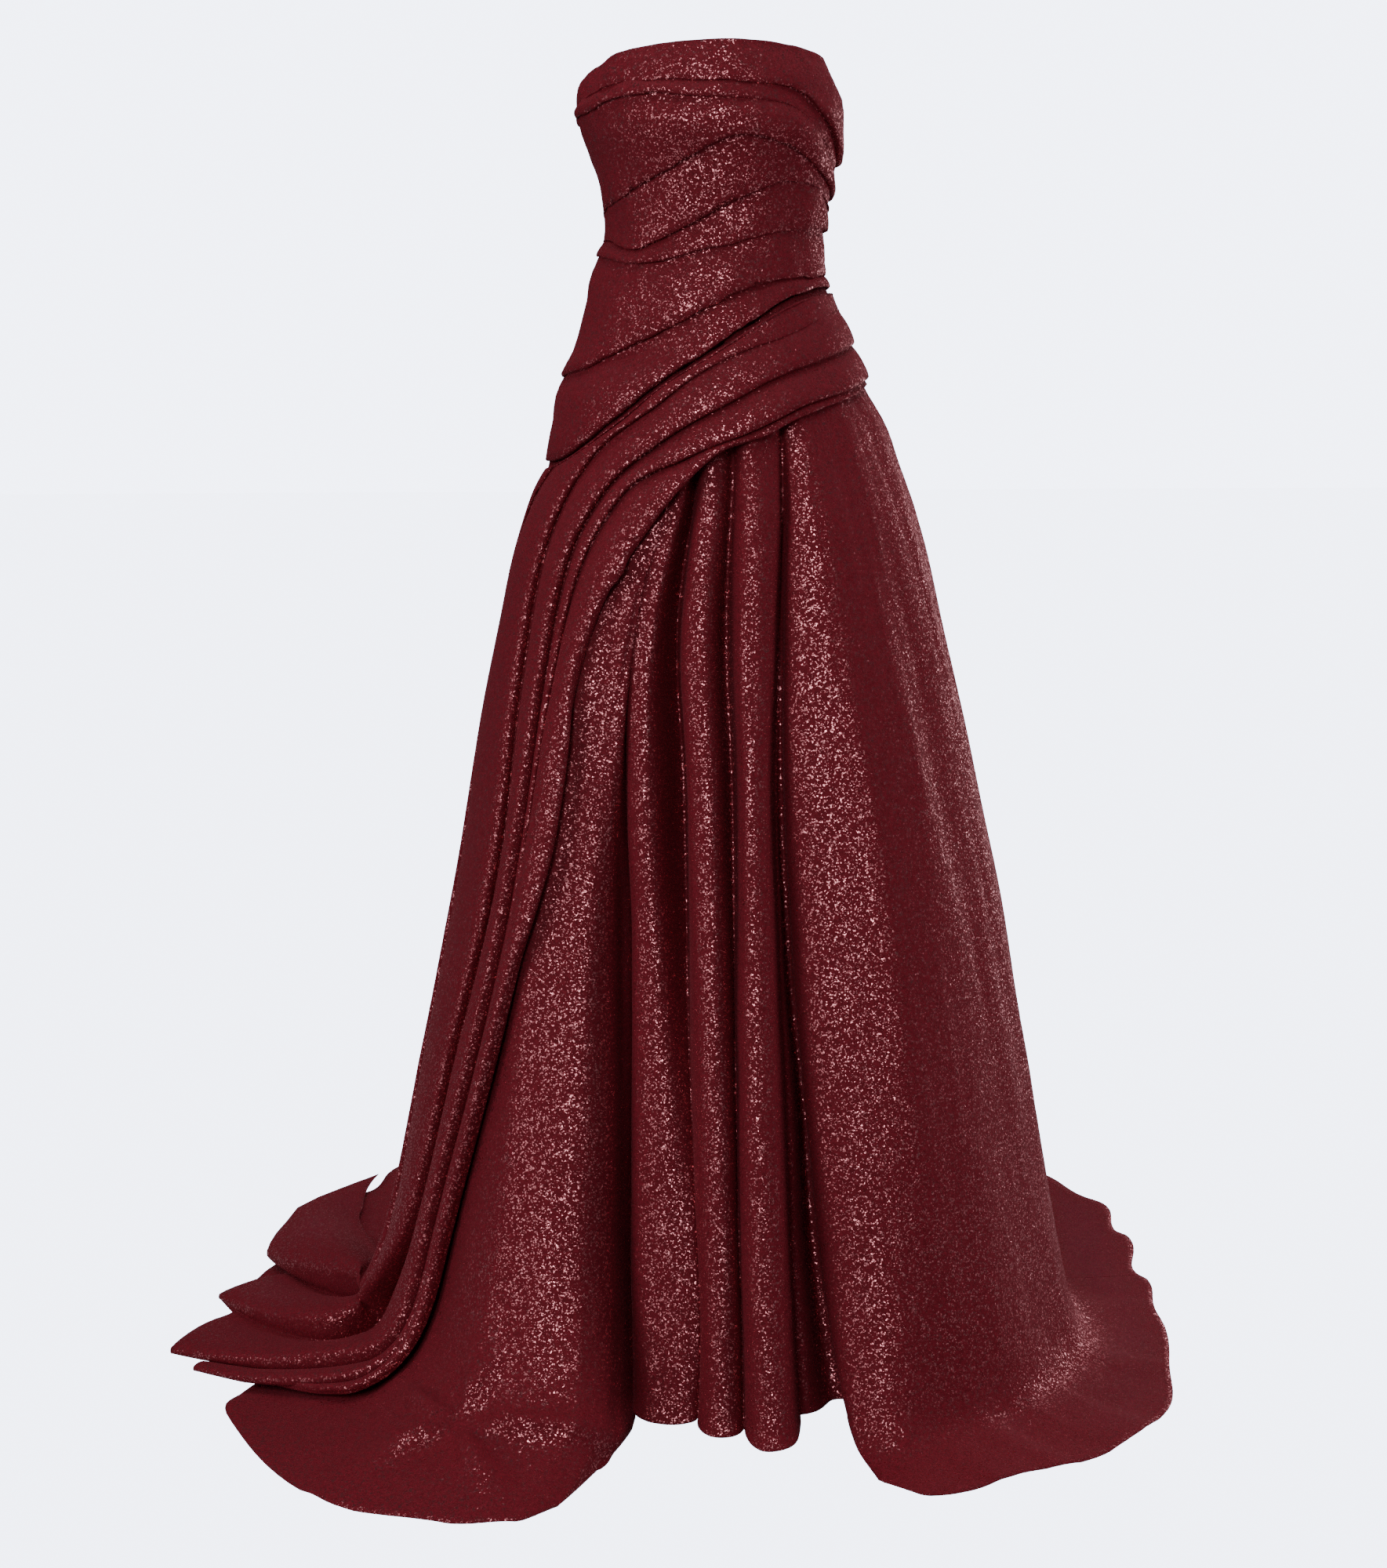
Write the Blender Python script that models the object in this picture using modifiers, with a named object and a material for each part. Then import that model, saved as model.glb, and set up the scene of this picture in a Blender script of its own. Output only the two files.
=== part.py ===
# Strapless bustier gown with a pleated bodice, a draped hip sash that falls into a
# side cascade, and a floor-length skirt with a train. It stands as it is worn, hollow.
# Metres, +Z up. The centre front faces -Y and +X is the wearer's left.
# The origin is inside the bodice at the bust line, where the wearer holds the gown.

import math

import bpy
import numpy as np

# Driving sizes
HEIGHT = 1.400          # floor to the top of the front neckline
HOLD_HEIGHT = 1.300     # floor to the origin
WALL = 0.0020           # thickness of every cloth wall
SEAM = 0.0003           # gap where two pieces are sewn
WAIST_GAP = 0.0009      # the same between the bodice and the skirt, whose columns differ
END_SHARE = 0.15        # width of the narrow column at a seam, as a share of a column
TAPER = 12.0            # angle in which a pleat flattens towards its seam
FLOOR_LIFT = 0.0035     # outer face of cloth that lies on the floor
FOOT = 0.100            # height at which the skirt's rows close up towards the floor
FOOT_REACH = 0.800      # height to which the rounding of the skirt's foot reaches
LIP_DROP = 0.0015       # distance along the wall in which a pleat's edge falls back
TUCK = 0.0060           # from the bodice's lowest pleat down to the edge of the sash
SEWN_GAP = 0.0025       # outer face of the sash above the skirt where it is sewn down
DRAPE_GAP = 0.0048      # the same along its free edges
FOOT_GAP = 0.0090       # the same where it turns out along the floor
SASH_HEM_GAP = 0.0065   # the same at its hem
SHORT_HEM = 0.050       # a hem that reaches less far along the floor keeps its height
MM = 0.001

# Side seams and centre back, as angles round the gown from the centre front
RIGHT_SEAM = -100.0
LEFT_SEAM = 95.0
BACK = 180.0

# Cups: two soft swellings of the bodice front
CUP_ANGLE = 36.0
CUP_HEIGHT = 1.318
CUP_WIDTH = 21.0
CUP_RISE = 0.036
CUP_DEPTH = 0.007

# The smooth form that the pleats and folds are raised on, in millimetres
SECTIONS = [
    # height, half width, half depth, shift of the middle to +X
    (1400, 127, 106, -5),
    (1360, 139, 114, -7),
    (1320, 138, 118, -4),
    (1280, 127, 106, 2),
    (1240, 121, 98, 3),
    (1205, 118, 94, 0),
    (1170, 125, 98, -6),
    (1130, 135, 107, -2),
    (1090, 147, 118, 1),
    (1050, 166, 132, -1),
    (1010, 180, 147, 8),
    (970, 190, 161, 12),
    (930, 204, 176, 13),
    (880, 219, 192, 13),
    (800, 237, 214, 14),
    (700, 259, 241, 16),
    (600, 278, 266, 19),
    (500, 297, 291, 22),
    (400, 314, 316, 21),
    (300, 331, 340, 20),
    (200, 346, 362, 20),
    (100, 360, 384, 22),
    (0, 374, 405, 24),
]

# Bodice front: the height of each pleat's folded edge at nine angles
PLEAT_ANGLES = (-100, -75, -50, -25, 0, 25, 50, 75, 95)
PLEAT_EDGES = {
    "neckline": (1350, 1378, 1394, 1400, 1403, 1402, 1396, 1383, 1370),
    "band": (1341, 1350, 1362, 1362, 1360, 1357, 1328, 1294, 1285),
    "bust": (1332, 1336, 1347, 1346, 1344, 1340, 1308, 1276, 1266),
    "arch": (1232, 1243, 1259, 1285, 1308, 1301, 1278, 1257, 1248),
    "rib": (1205, 1203, 1193, 1214, 1244, 1263, 1257, 1240, 1232),
    "waist": (1190, 1186, 1178, 1185, 1198, 1213, 1218, 1218, 1216),
    "hip": (1062, 1066, 1088, 1117, 1144, 1160, 1168, 1173, 1173),
    "sash": (975, 976, 1013, 1063, 1107, 1139, 1154, 1158, 1157),
}
# How far each edge stands out at the same angles, in millimetres
PLEAT_LIPS = {
    "band": (0, 0, 0, 2, 4, 6, 8, 8, 5),
    "bust": (4, 6, 6, 6, 4, 1, 0, 0, 0),
    "arch": (1, 2, 5, 7, 7, 7, 6, 5, 4),
    "rib": (0, 1, 5, 6, 6, 3, 0, 0, 0),
    "waist": (4, 6, 6, 6, 5, 4, 5, 6, 4),
    "hip": (5, 8, 8, 8, 7, 6, 5, 4, 3),
    "sash": (6, 9, 9, 8, 8, 7, 6, 5, 4),
}

# Bodice back: each edge at the right seam and the left seam, its dip, and its lip
BACK_PLEATS = {
    "neckline": (1350, 1370, 26, 0),
    "bust": (1332, 1285, 10, 4),
    "arch": (1232, 1248, 6, 4),
    "waist": (1190, 1216, 4, 4),
    "hip": (1062, 1173, 0, 5),
    "sash": (975, 1157, 0, 3),
}

# Across one pleat: the share of its width, and the share of its lip's height
PLEAT_RISE = ((0.06, 0.0), (0.36, 0.66), (0.84, 1.0), (1.0, 0.62))

# Folds of the skirt, round from the centre back to the centre back again. Each has its
# angle at every level, its depth out from the form at all levels but the first, how far
# its hem lies out along the floor, the roundness of its foot, and how sharp the fold is
# (1) or soft (0). The folds at the front are stated at more levels.
FOLD_LEVELS = (1.00, 0.88, 0.50, 0.00)
FRONT_LEVELS = (1.02, 0.93, 0.80, 0.65, 0.50, 0.30, 0.12, 0.00)
SKIRT_FOLDS = {
    # name: angles, depths in mm, hem spread, foot, sharp
    "back_right": ((-180, -180, -180, -180), (0, 0, 0), 410, 90, 0),
    "back_valley_1": ((-169, -169, -169, -169), (-4, -11, -16), 405, 90, 0),
    "back_crest_1": ((-158, -158, -158, -158), (3, 8, 12), 375, 90, 0),
    "back_valley_2": ((-147, -147, -147, -148), (-4, -10, -14), 322, 80, 0),
    "back_crest_2": ((-136, -136, -136, -138), (3, 7, 9), 268, 60, 0),
    "back_valley_3": ((-125, -125, -125, -127), (-3, -6, -7), 220, 50, 0),
    "under_sash_1": ((-112, -112, -112, -115), (0, 0, 0), 160, 40, 0),
    "right_seam": ((-100, -100, -100, -102), (0, 0, 0), 140, 40, 0),
    "under_sash_2": ((-82, -82, -82, -86), (0, 0, 0), 145, 40, 0),
    "lobe_side": ((-60, -62, -64, -75), (0, 0, 0), 214, 70, 0),
    "lobe_crest": ((-34, -37, -43.9, -52.8, -54.2, -51.3, -49.8, -51),
                   (2, 4, 8, 10, 12, 14, 14), 222, 140, 0),
    "lobe_front": ((-30, -33, -40.3, -47.4, -48.8, -45.3, -43, -40),
                   (0, -3, -3, -4, -2, 4, 10), 196, 130, 0),
    "lobe_fall": ((-28, -31, -38.2, -43.4, -44.9, -41.3, -39, -35.5),
                  (-1, -8, -15, -25, -23, -14, 6), 170, 110, 0),
    "lobe_edge": ((-26.5, -29.5, -37, -41.3, -42.9, -39.4, -36.8, -33.5),
                  (-2, -11, -20, -48, -50, -40, 2), 130, 80, 0),
    "valley_1": ((-25, -28, -35.2, -39.4, -41.5, -37.9, -35.6, -31.5),
                 (-2, -15, -26, -72, -80, -80, -64), -25, 30, 1),
    "tube_1": ((-23.5, -25.5, -32, -32.3, -30, -27.5, -26, -25),
               (-3, -17, -22, -30, -34, -38, -28), -12, 30, 0),
    "valley_2": ((-18, -22.1, -27.1, -24.6, -23.1, -20.8, -19.8, -20),
                 (-26, -44, -54, -54, -50, -50, -50), -14, 30, 1),
    "tube_2": ((-12, -15.9, -19, -18, -17.6, -16.2, -15.8, -17),
               (-6, -12, -18, -20, -20, -20, -12), -2, 30, 0),
    "valley_3": ((-6, -9.8, -12.7, -13.1, -13.2, -12.6, -12.4, -13),
                 (-18, -34, -40, -42, -40, -40, -38), -6, 30, 1),
    "tube_3": ((2, -2.4, -5.5, -7.3, -8.4, -8.3, -8.2, -9),
               (0, -4, -8, -10, -8, -5, 0), 8, 30, 0),
    "valley_4": ((12, 8.3, 3.8, -0.4, -2.4, -2.2, -2.2, -2),
                 (-24, -38, -46, -52, -56, -60, -58), -12, 30, 1),
    "front_edge": ((15, 10.8, 7.6, 6.4, 5.6, 5.4, 4.6, 2.5),
                   (-9, -20, -28, -32, -36, -32, 0), 60, 30, 0),
    "front_crest_1": ((19, 13, 12, 13.1, 12.7, 11.8, 10.6, 8.5),
                      (0, -4, -3, -2, -1, 4, 12), 102, 40, 0),
    "front_valley_1": ((25, 19, 19, 20, 20.7, 20, 19.5, 20),
                       (4, 5, 8, 10, 11, 9, 4), 112, 40, 0),
    "front_crest_2": ((36, 29, 30, 32, 33, 33.5, 33.5, 34),
                      (3, 5, 6, 7, 7, 8, 8), 127, 40, 0),
    "front_valley_2": ((46, 41, 42, 44, 45, 46, 47, 48),
                       (0, -1, -1, -1, -1, 0, 0), 133, 40, 0),
    "front_crest_3": ((62, 56, 56, 57, 58, 60, 63, 65),
                      (2, 3, 3, 3, 4, 5, 5), 102, 40, 0),
    "left_side": ((80, 74, 76, 82), (0, -2, -2), 113, 40, 0),
    "left_seam": ((95, 95, 95, 97), (0, 0, 0), 144, 40, 0),
    "train_valley_1": ((108, 108, 108, 111), (-3, -8, -10), 228, 50, 0),
    "train_crest_1": ((120, 120, 120, 122), (3, 8, 10), 290, 60, 0),
    "train_valley_2": ((132, 132, 132, 134), (-4, -10, -14), 378, 80, 0),
    "train_crest_2": ((145, 145, 145, 146), (3, 8, 12), 400, 90, 0),
    "train_valley_3": ((163, 163, 163, 163), (-4, -11, -16), 410, 90, 0),
    "back_left": ((180, 180, 180, 180), (0, 0, 0), 410, 90, 0),
}

# The hip sash and its cascade: each folded edge as angle and height at fourteen stations,
# from the left side seam, across the hip, down the right side and out along the floor.
# A height below zero is a distance out along the floor.
SASH_EDGES = {
    "top": ((94, 1153), (70, 1154), (45, 1148), (20, 1131), (-8, 1096), (-38, 1040),
            (-86, 970), (-111, 870), (-112, 560), (-112, 300), (-113, 110), (-118, 0),
            (-136, -165), (-152, -345)),
    "fall": ((94, 1150), (70, 1151), (45, 1145), (20, 1128), (-8, 1093), (-36, 1037),
             (-80, 962), (-99, 860), (-98, 560), (-98, 300), (-97, 120), (-92, 10),
             (-106, -88), (-125, -225)),
    "roll": ((94, 1128), (70, 1131), (45, 1121), (20, 1101), (-5, 1078), (-29, 1032),
             (-58, 966), (-69, 850), (-68, 580), (-73, 350), (-78, 150), (-86, 30),
             (-94, -85), (-110, -220)),
    "hip": ((94, 1100), (70, 1095), (45, 1083), (20, 1065), (-2, 1037), (-26, 1000),
            (-48, 939), (-58, 830), (-60, 590), (-64, 370), (-72, 160), (-71, 0),
            (-82, -115), (-96, -268)),
    "under": ((94, 1062), (70, 1058), (45, 1045), (20, 1028), (0, 1004), (-22, 976),
              (-42, 934), (-54, 815), (-57, 575), (-61, 360), (-69, 155), (-68, -25),
              (-78, -122), (-88, -230)),
    "tail": ((94, 1055), (70, 1051), (45, 1038), (20, 1020), (2, 997), (-14, 976),
             (-31, 910), (-46, 790), (-52, 560), (-57, 350), (-65, 145), (-66, -50),
             (-74, -130), (-83, -200)),
}
# How far each edge stands out: at the left seam, the hip, the bend, the cascade, the
# turn onto the floor and the hem, each at its station. Then the sash's gap above the
# skirt, at its own stations.
LIP_STATIONS = (0, 3, 6, 9, 11, 12, 13)
SASH_LIPS = {
    "fall": (0, 0, 3, 8, 30, 20, 4),
    "roll": (0, 2, 8, 13, 36, 22, 6),
    "hip": (4, 8, 10, 14, 20, 17, 6),
    "under": (5, 9, 8, 8, 12, 11, 5),
    "tail": (0, 2, 11, 15, 9, 6, 3),
}

GAP_STATIONS = (0, 0.5, 8, 9, 12, 13)
SASH_GAPS = (SEWN_GAP, DRAPE_GAP, DRAPE_GAP, FOOT_GAP, FOOT_GAP, SASH_HEM_GAP)

# Base colours of the pieces
BODICE_RED = (0.200, 0.030, 0.045)
BACK_RED = (0.170, 0.025, 0.038)
SASH_RED = (0.230, 0.034, 0.050)
SKIRT_RED = (0.190, 0.028, 0.042)
TRAIN_RED = (0.160, 0.024, 0.036)

# Columns and rows of the meshes
BODICE_COLUMNS = 22
BACK_COLUMNS = 9
FRONT_COLUMNS = 3
TRAIN_COLUMNS = 3
SASH_COLUMNS = (3, 3, 3, 2, 3, 4, 3, 2, 2, 3, 3, 3, 3)
WALL_ROWS = 10
WALL_CLOSE = 1.5        # above 1, the rows stand closer towards the waist
FOOT_ROWS = 6


def smooth(xs, ys, x):
    """A cubic curve through the points xs (rising), ys, read at x."""
    xs = np.asarray(xs, float)
    ys = np.asarray(ys, float)
    x = np.clip(x, xs[0], xs[-1])
    slopes = np.gradient(ys, xs)
    i = np.clip(np.searchsorted(xs, x) - 1, 0, len(xs) - 2)
    step = xs[i + 1] - xs[i]
    t = (x - xs[i]) / step
    first = (2 * t**3 - 3 * t**2 + 1) * ys[i] + (t**3 - 2 * t**2 + t) * step * slopes[i]
    second = (3 * t**2 - 2 * t**3) * ys[i + 1] + (t**3 - t**2) * step * slopes[i + 1]
    return first + second


HEIGHTS, WIDTHS, DEPTHS, SHIFTS = np.array(SECTIONS[::-1], float).T * MM


def form(angle, above, spread):
    """A point of the smooth form, at a height, moved out level by spread."""
    wide = smooth(HEIGHTS, WIDTHS, above) + spread
    deep = smooth(HEIGHTS, DEPTHS, above) + spread
    middle = smooth(HEIGHTS, SHIFTS, above)
    around = np.radians(angle)
    cup = np.exp(-(((np.abs(angle) - CUP_ANGLE) / CUP_WIDTH) ** 2))
    deep = deep + CUP_DEPTH * cup * np.exp(-(((above - CUP_HEIGHT) / CUP_RISE) ** 2))
    return middle + wide * np.sin(around), -deep * np.cos(around)


FOLDS = list(SKIRT_FOLDS)
FOLD_ANGLE = [SKIRT_FOLDS[name][0][::-1] for name in FOLDS]
FOLD_DEPTH = [np.array((*SKIRT_FOLDS[name][1][::-1], 0)) * MM for name in FOLDS]
FOLD_SPREAD = [SKIRT_FOLDS[name][2] * MM for name in FOLDS]
FOLD_FOOT = [SKIRT_FOLDS[name][3] * MM for name in FOLDS]
FOLD_SHARP = [SKIRT_FOLDS[name][4] for name in FOLDS]


def levels(k):
    """Heights at which fold k is stated, rising."""
    return (FOLD_LEVELS if len(FOLD_ANGLE[k]) == len(FOLD_LEVELS) else FRONT_LEVELS)[::-1]


def fold_angle(k, above):
    return smooth(levels(k), FOLD_ANGLE[k], above)


def fold_depth(k, above):
    return smooth(levels(k), FOLD_DEPTH[k], above)


def ease(k, t):
    """How far the cloth has gone from fold k to the next, at the share t of the way."""
    soft = (1 - np.cos(math.pi * t)) / 2
    if FOLD_SHARP[k + 1]:
        return (soft + 2 * t**2) / 3
    if FOLD_SHARP[k]:
        return (soft + 2 * (1 - (1 - t) ** 2)) / 3
    return soft


def between_folds(k, t, above):
    """Depth, hem spread and foot at the share t of the way from fold k to the next."""
    e = ease(k, t)
    depth = fold_depth(k, above) * (1 - e) + fold_depth(k + 1, above) * e
    spread = FOLD_SPREAD[k] * (1 - e) + FOLD_SPREAD[k + 1] * e
    foot = FOLD_FOOT[k] * (1 - t) + FOLD_FOOT[k + 1] * t
    return depth, spread, foot


def fold_state(angle, above):
    """The same at any angle, found from the folds on each side of it."""
    depth = np.zeros_like(angle)
    spread = np.zeros_like(angle)
    foot = np.full_like(angle, FOLD_FOOT[0])
    for k in range(len(FOLDS) - 1):
        start = fold_angle(k, above)
        end = fold_angle(k + 1, above)
        t = np.clip((angle - start) / (end - start), 0, 1)
        inside = (angle >= start) & (angle <= end)
        values = between_folds(k, t, above)
        depth = np.where(inside, values[0], depth)
        spread = np.where(inside, values[1], spread)
        foot = np.where(inside, values[2], foot)
    return depth, spread, foot


def lay(angle, above, depth, spread, foot):
    """Point of the skirt. Above is its height, or minus its distance along the floor."""
    foot = foot * (1 - np.clip(above / FOOT_REACH, 0, 1) ** 2)
    half = np.sqrt(above**2 + foot**2)
    drop = (above + half) / 2
    hem = (-spread + np.sqrt(spread**2 + foot**2)) / 2 * np.clip(spread / SHORT_HEM, 0, 1)
    near = np.clip((FOOT - above) / (FOOT + np.maximum(spread, 0)), 0, 1) ** 2
    x, y = form(angle, np.minimum(drop, HEIGHT), depth + drop - above)
    return np.stack([x, y, FLOOR_LIFT + np.maximum(drop - hem * near, 0)], axis=-1)


def over_skirt(angle, above):
    """Point of the form that the sash lies on: the skirt with its valleys bridged."""
    depth, spread, foot = fold_state(angle, above)
    return lay(angle, above, np.maximum(depth, 0), spread, foot)


def on_body(angle, above):
    x, y = form(angle, above, 0)
    return np.stack([x, y, above + FLOOR_LIFT], axis=-1)


def raised(surface, angle, above, height):
    """Points of a surface moved out along its normal by height."""
    step = 0.5
    rise = 0.002
    across = surface(angle + step, above) - surface(angle - step, above)
    down = surface(angle, above - rise) - surface(angle, above + rise)
    normal = np.cross(down, across)
    normal /= np.linalg.norm(normal, axis=-1, keepdims=True)
    return surface(angle, above) + normal * height[..., None]


def pleat_rows(edges, lips, low):
    """Rows across a stack of pleats: angle, height and relief of every row."""
    angles = [edges[0][0]]
    heights = [edges[0][1]]
    relief = [low]
    for (from_angle, from_height), (to_angle, to_height), lip in zip(edges, edges[1:], lips):
        for share, rise in PLEAT_RISE:
            angles.append(from_angle + (to_angle - from_angle) * share)
            heights.append(from_height + (to_height - from_height) * share)
            relief.append(low + lip * rise)
    angles.append(edges[-1][0])
    heights.append(edges[-1][1] - LIP_DROP)
    relief.append(low)
    return np.array(angles), np.array(heights), np.array(relief)


def with_ends(values):
    """Adds a narrow step at each end, so that the rims at a seam stand square to it."""
    near = values[0] + (values[1] - values[0]) * END_SHARE
    far = values[-1] + (values[-2] - values[-1]) * END_SHARE
    return np.concatenate([values[:1], [near], values[1:-1], [far], values[-1:]])


def part_seams(points):
    """Draws the end columns back from their seams by half the seam gap."""
    for end, neighbour in ((0, 2), (-1, -3)):
        way = points[:, neighbour] - points[:, end]
        way[:, 2] = 0
        way /= np.linalg.norm(way, axis=1, keepdims=True)
        points[:, end] += way * SEAM / 2
    return points


def at_seams(angle, first, last):
    """1 along a piece, falling softly to 0 at its seams, where pleats are sewn flat."""
    share = np.clip(np.minimum(angle - first, last - angle) / TAPER, 0, 1)
    return share**2 * (3 - 2 * share)


def cloth(name, points, collection, material):
    """A wall of cloth through a grid of outer points, with its thickness to the inside."""
    rows, columns = points.shape[:2]
    corners = points.reshape(-1, 3) - np.array([0, 0, HOLD_HEIGHT])
    faces = []
    for r in range(rows - 1):
        for c in range(columns - 1):
            i = r * columns + c
            faces.append((i, i + columns, i + columns + 1, i + 1))
    mesh = bpy.data.meshes.new(name)
    mesh.from_pydata(corners.tolist(), [], faces)
    mesh.shade_smooth()
    mesh.materials.append(material)
    obj = bpy.data.objects.new(name, mesh)
    collection.objects.link(obj)
    wall = obj.modifiers.new("wall", "SOLIDIFY")
    wall.thickness = WALL
    wall.offset = -1
    return obj


def lame(name, tint):
    """Dark red crinkled cloth with a metallic thread."""
    material = bpy.data.materials.new(name)
    material.use_nodes = True
    shader = material.node_tree.nodes["Principled BSDF"]
    shader.inputs["Base Color"].default_value = (*tint, 1)
    shader.inputs["Roughness"].default_value = 0.45
    shader.inputs["Metallic"].default_value = 0.35
    return material


def bodice_columns(side):
    """Angles of a bodice piece's columns: 0 is the front, -1 the right back, 1 the left."""
    if side == 0:
        return with_ends(np.linspace(RIGHT_SEAM, LEFT_SEAM, BODICE_COLUMNS))
    seam = RIGHT_SEAM if side < 0 else LEFT_SEAM
    return with_ends(np.linspace(seam, side * BACK, BACK_COLUMNS))


def front_height(edge, angle):
    return smooth(PLEAT_ANGLES, PLEAT_EDGES[edge], angle) * MM


def back_height(edge, angle):
    right, left, dip, _ = BACK_PLEATS[edge]
    share = (np.mod(angle, 360) - LEFT_SEAM) / (RIGHT_SEAM + 360 - LEFT_SEAM)
    turn = share**2 * (3 - 2 * share)
    return (left + (right - left) * turn - dip * np.sin(math.pi * share)) * MM


def bodice_front():
    angle = bodice_columns(0)
    flat = at_seams(angle, RIGHT_SEAM, LEFT_SEAM) * MM
    edges = [(angle, front_height(edge, angle)) for edge in PLEAT_EDGES]
    lips = [np.maximum(smooth(PLEAT_ANGLES, row, angle), 0) * flat for row in PLEAT_LIPS.values()]
    grid = pleat_rows(edges, lips, np.zeros_like(angle))
    return part_seams(raised(on_body, *grid))


def bodice_back(side):
    """The half back on one side: -1 is the wearer's right, 1 the left."""
    angle = bodice_columns(side)
    flat = at_seams(np.abs(angle), abs(angle[0]), BACK) * MM
    edges = [(angle, back_height(edge, angle)) for edge in BACK_PLEATS]
    lips = [row[3] * flat for row in BACK_PLEATS.values()][1:]
    grid = pleat_rows(edges, lips, np.zeros_like(angle))
    points = part_seams(raised(on_body, *grid))
    return points[:, ::-1] if side < 0 else points


def waist_height(angle):
    """Where the skirt is sewn to the bodice: along the straight edges of its columns."""
    right, front, left = (bodice_columns(side) for side in (-1, 0, 1))
    angles = np.concatenate([right[::-1], front[1:-1], left])
    heights = [back_height("sash", right)[::-1], front_height("sash", front)[1:-1]]
    heights.append(back_height("sash", left))
    return np.interp(angle, angles, np.concatenate(heights)) - LIP_DROP - WAIST_GAP


def skirt_panel(first, last, fold_columns):
    """One panel of the skirt, from one named fold to another."""
    start = FOLDS.index(first)
    count = FOLDS.index(last) - start
    grid = []
    for place in with_ends(np.linspace(0, count, count * fold_columns + 1)):
        k = start + min(int(place), count - 1)
        t = start + place - k
        waist_angle = fold_angle(k, 1.0) * (1 - t) + fold_angle(k + 1, 1.0) * t
        spread = between_folds(k, t, 0.0)[1]
        fall = np.linspace(0, 1, WALL_ROWS + 1) ** WALL_CLOSE
        upper = waist_height(waist_angle) + (FOOT - waist_height(waist_angle)) * fall
        lower = np.linspace(FOOT, -spread, FOOT_ROWS + 1)[1:]
        above = np.concatenate([upper, lower])
        angle = fold_angle(k, above) * (1 - t) + fold_angle(k + 1, above) * t
        depth, spread, foot = between_folds(k, t, above)
        grid.append(lay(angle, above, depth, spread, foot))
    return part_seams(np.stack(grid, axis=1))


def hip_sash():
    stations = np.arange(len(SASH_EDGES["top"]))
    steps = [i + np.arange(count) / count for i, count in enumerate(SASH_COLUMNS)]
    along = np.concatenate([*steps, [stations[-1]]])
    edges = []
    for row in SASH_EDGES.values():
        angles, heights = np.array(row, float).T
        angle = smooth(stations, angles, along)
        under_bodice = front_height("sash", angle) - TUCK - LIP_DROP * len(edges)
        edges.append((angle, np.minimum(smooth(stations, heights, along) * MM, under_bodice)))
    lips = [smooth(LIP_STATIONS, row, along) * MM for row in SASH_LIPS.values()]
    grid = pleat_rows(edges, lips, np.interp(along, GAP_STATIONS, SASH_GAPS))
    return raised(over_skirt, *grid)[:, ::-1]


def main():
    for obj in list(bpy.data.objects):
        bpy.data.objects.remove(obj)
    collection = bpy.data.collections.new("bustier_gown")
    bpy.context.scene.collection.children.link(collection)
    right_train = skirt_panel("back_right", "right_seam", TRAIN_COLUMNS)
    front = skirt_panel("right_seam", "left_seam", FRONT_COLUMNS)
    left_train = skirt_panel("left_seam", "back_left", TRAIN_COLUMNS)
    pieces = {
        "bodice_front": (bodice_front(), BODICE_RED),
        "bodice_back_right": (bodice_back(-1), BACK_RED),
        "bodice_back_left": (bodice_back(1), BACK_RED),
        "hip_sash": (hip_sash(), SASH_RED),
        "skirt_front": (front, SKIRT_RED),
        "skirt_back_right": (right_train, TRAIN_RED),
        "skirt_back_left": (left_train, TRAIN_RED),
    }
    for name, (points, tint) in pieces.items():
        cloth(name, points, collection, lame(name + "_cloth", tint))


main()
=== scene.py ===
# Looks of the strapless bustier gown: draped cloth with real folds, material, camera, light.
import math

import bpy
import numpy as np
from mathutils import Euler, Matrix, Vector


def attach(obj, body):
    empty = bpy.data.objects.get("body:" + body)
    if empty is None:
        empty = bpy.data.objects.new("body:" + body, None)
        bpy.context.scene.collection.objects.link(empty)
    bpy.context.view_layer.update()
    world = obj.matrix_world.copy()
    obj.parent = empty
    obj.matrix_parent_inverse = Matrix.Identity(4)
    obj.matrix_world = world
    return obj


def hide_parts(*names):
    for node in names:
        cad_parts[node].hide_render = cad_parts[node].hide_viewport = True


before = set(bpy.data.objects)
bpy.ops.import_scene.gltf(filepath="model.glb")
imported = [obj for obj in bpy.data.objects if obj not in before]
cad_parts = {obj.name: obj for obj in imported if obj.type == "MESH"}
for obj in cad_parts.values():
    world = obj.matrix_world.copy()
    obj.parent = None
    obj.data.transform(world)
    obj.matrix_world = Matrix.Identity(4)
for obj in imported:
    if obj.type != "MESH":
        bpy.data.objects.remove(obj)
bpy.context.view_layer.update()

# Sizes are metres, and angles are degrees round from the front's middle, to the wearer's left
MM = 0.001
HEIGHT = 1.400          # floor to the top of the front neckline
HOLD_HEIGHT = 1.300     # floor to the origin
CLOTH = 0.0009          # thickness of the cloth
SEAM = 0.0003           # gap where two pieces are sewn
WAIST_GAP = 0.0009      # gap between the bodice's last edge and the skirt
END_SHARE = 0.15        # place of the extra column beside each end, as a share of a step
TAPER = 12.0            # how far from a seam the relief starts to fade out
FLOOR_LIFT = 0.0035     # lift of the whole form, so that the lying cloth clears the floor
LOWEST = 0.0015         # lowest height of the cloth's outer side
RIGHT_SEAM = -100.0
LEFT_SEAM = 95.0
BACK = 180.0            # the centre back seam

# The bust's two cups: angle and height of each, how wide and high it is, how far it stands out
CUP_ANGLE = 36.0
CUP_HEIGHT = 1.318
CUP_WIDTH = 21.0
CUP_RISE = 0.036
CUP_DEPTH = 0.007

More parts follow.
